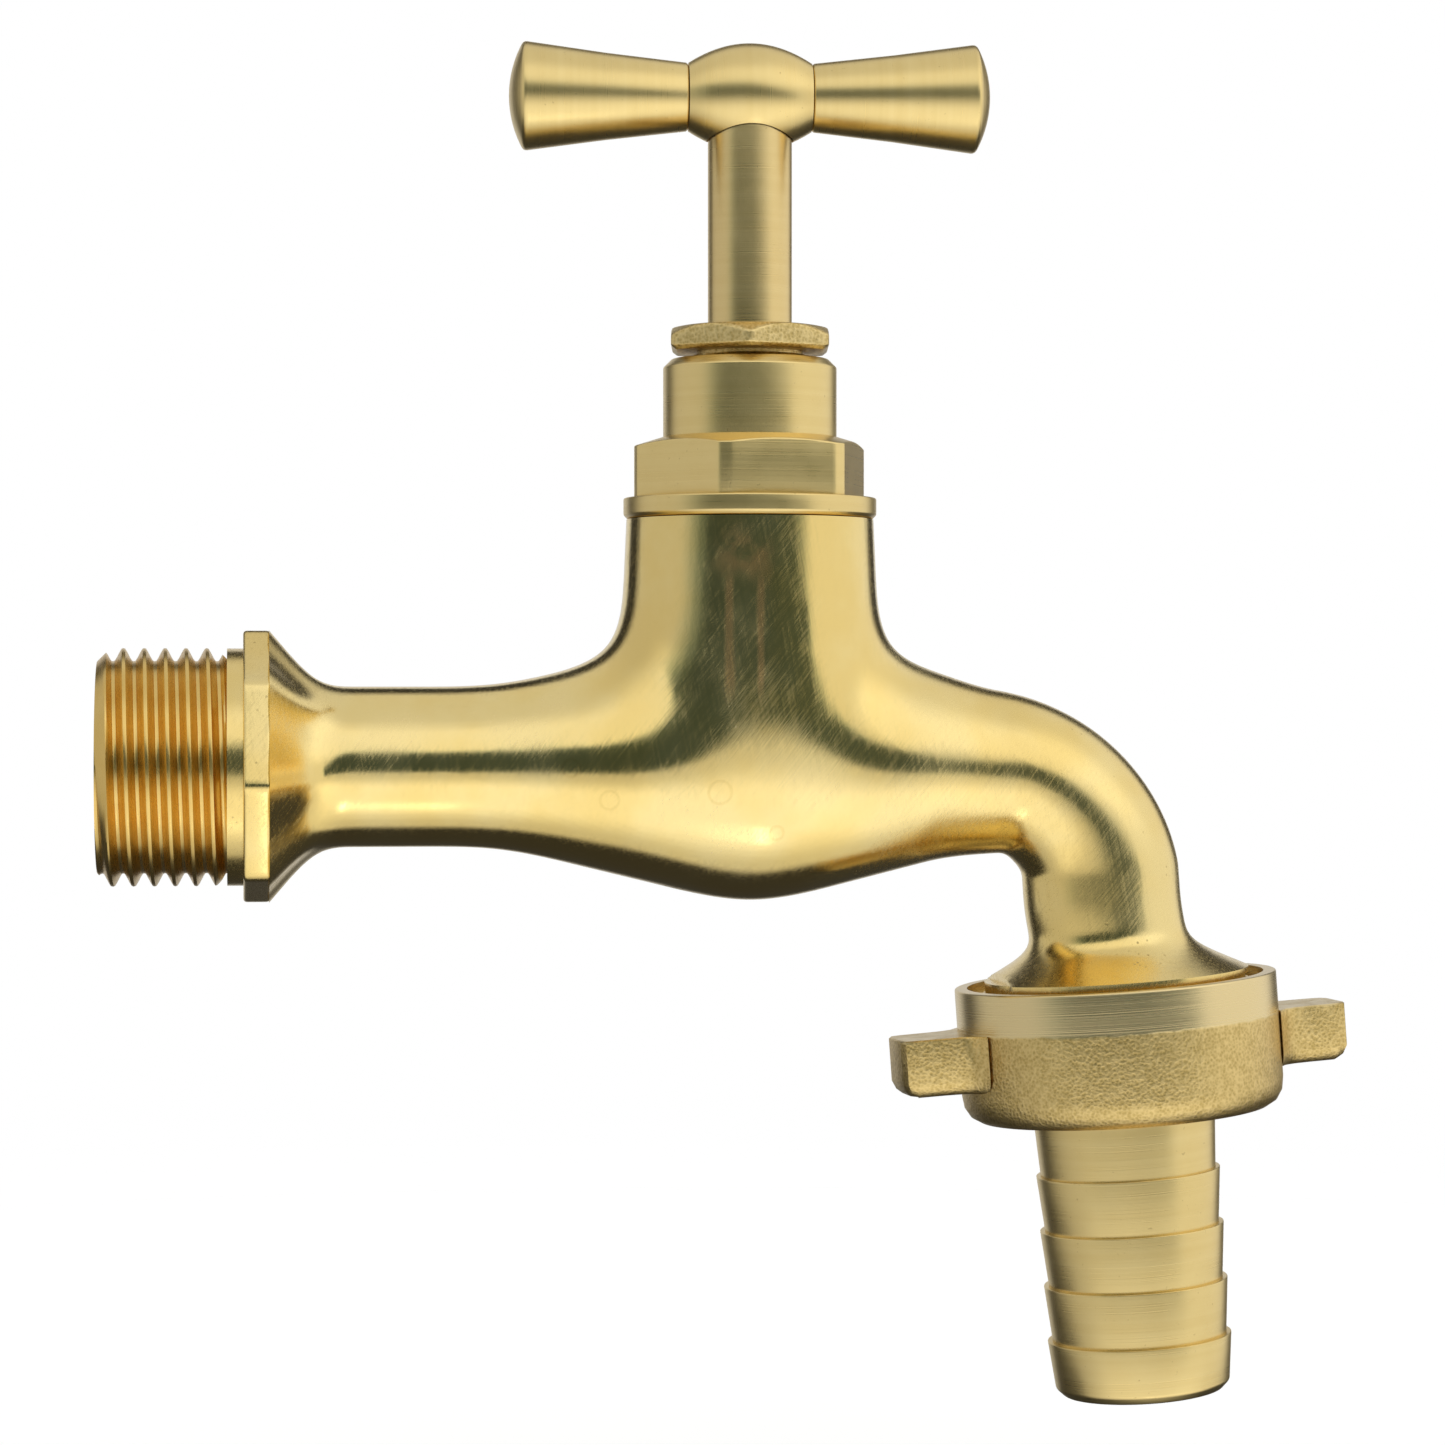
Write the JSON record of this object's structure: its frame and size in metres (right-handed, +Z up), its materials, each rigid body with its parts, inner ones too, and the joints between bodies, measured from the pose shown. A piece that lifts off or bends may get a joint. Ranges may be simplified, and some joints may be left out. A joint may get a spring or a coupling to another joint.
{
  "type": "hose bib",
  "caption": "Brass garden tap with a screw-down valve, T-bar handle, threaded wall inlet, bent spout and a hose union with a wing nut and barbed tail.",
  "frame": {"origin": "on the axis of the inlet thread, in the face of the octagonal flange behind it", "axes": "+X away from the wall along the inlet's axis, +Z up along the spindle, so the tap is upright as it is used; +Y is across it, to the left of someone facing the wall"},
  "size_m": [0.1124, 0.029, 0.1216],
  "materials": {
    "polished_cast_brass": "cast, then polished by hand to a bright skin with fine scratches and water marks",
    "turned_brass": "turned on a lathe, satin, with fine rings round the axis",
    "rough_brass": "sand-cast skin, grainy, with machined bands",
    "red_fibre": "pressed vulcanised fibre, matt",
    "white_ptfe": "soft waxy packing",
    "black_rubber": "moulded rubber, matt",
    "spring_steel": "drawn spring wire"
  },
  "bodies": {
    "tap_body": {"valve_body": "polished_cast_brass", "bonnet": "turned_brass", "bonnet_gasket": "red_fibre", "packing_washer": "turned_brass", "packing_ring_1": "white_ptfe", "packing_ring_2": "white_ptfe", "packing_ring_3": "white_ptfe", "gland_ring": "turned_brass", "gland_screw": "rough_brass"},
    "valve_disc": {"valve_disc": "turned_brass", "valve_washer": "black_rubber", "washer_nut": "turned_brass", "disc_retaining_ring": "spring_steel"},
    "spindle_and_handle": {"spindle": "turned_brass", "handle_hub": "turned_brass", "handle_arm_right": "turned_brass", "handle_arm_left": "turned_brass"},
    "hose_union": {"hose_gasket": "black_rubber"},
    "wing_nut": {"wing_nut": "rough_brass"},
    "hose_tail": {"hose_tail": "turned_brass"}
  },
  "joints": [
    {"name": "disc_lift", "type": "slide", "parent": "tap_body", "child": "valve_disc", "axis": [0, 0, 1], "range_m": [0, 0.00526]},
    {"name": "spindle_turn", "type": "hinge", "parent": "valve_disc", "child": "spindle_and_handle", "pos_m": [0.045, 0, 0], "axis": [0, 0, 1], "range_deg": [0, 1080]},
    {"name": "union_travel", "type": "slide", "parent": "tap_body", "child": "hose_union", "axis": [0.0715, 0, -0.9974], "range_m": [0, 0.0059]},
    {"name": "wing_nut_turn", "type": "hinge", "parent": "hose_union", "child": "wing_nut", "pos_m": [0.07826, 0, -0.01931], "axis": [0.0715, 0, -0.9974], "range_deg": [0, 1170]},
    {"name": "hose_tail_swivel", "type": "hinge", "parent": "hose_union", "child": "hose_tail", "pos_m": [0.07826, 0, -0.01931], "axis": [0.0715, 0, -0.9974], "continuous": true}
  ],
  "couplings": [
    {"joint": "disc_lift", "follows": "spindle_turn", "m_per_rad": 0.00027852},
    {"joint": "union_travel", "follows": "wing_nut_turn", "m_per_rad": 0.00028871}
  ]
}
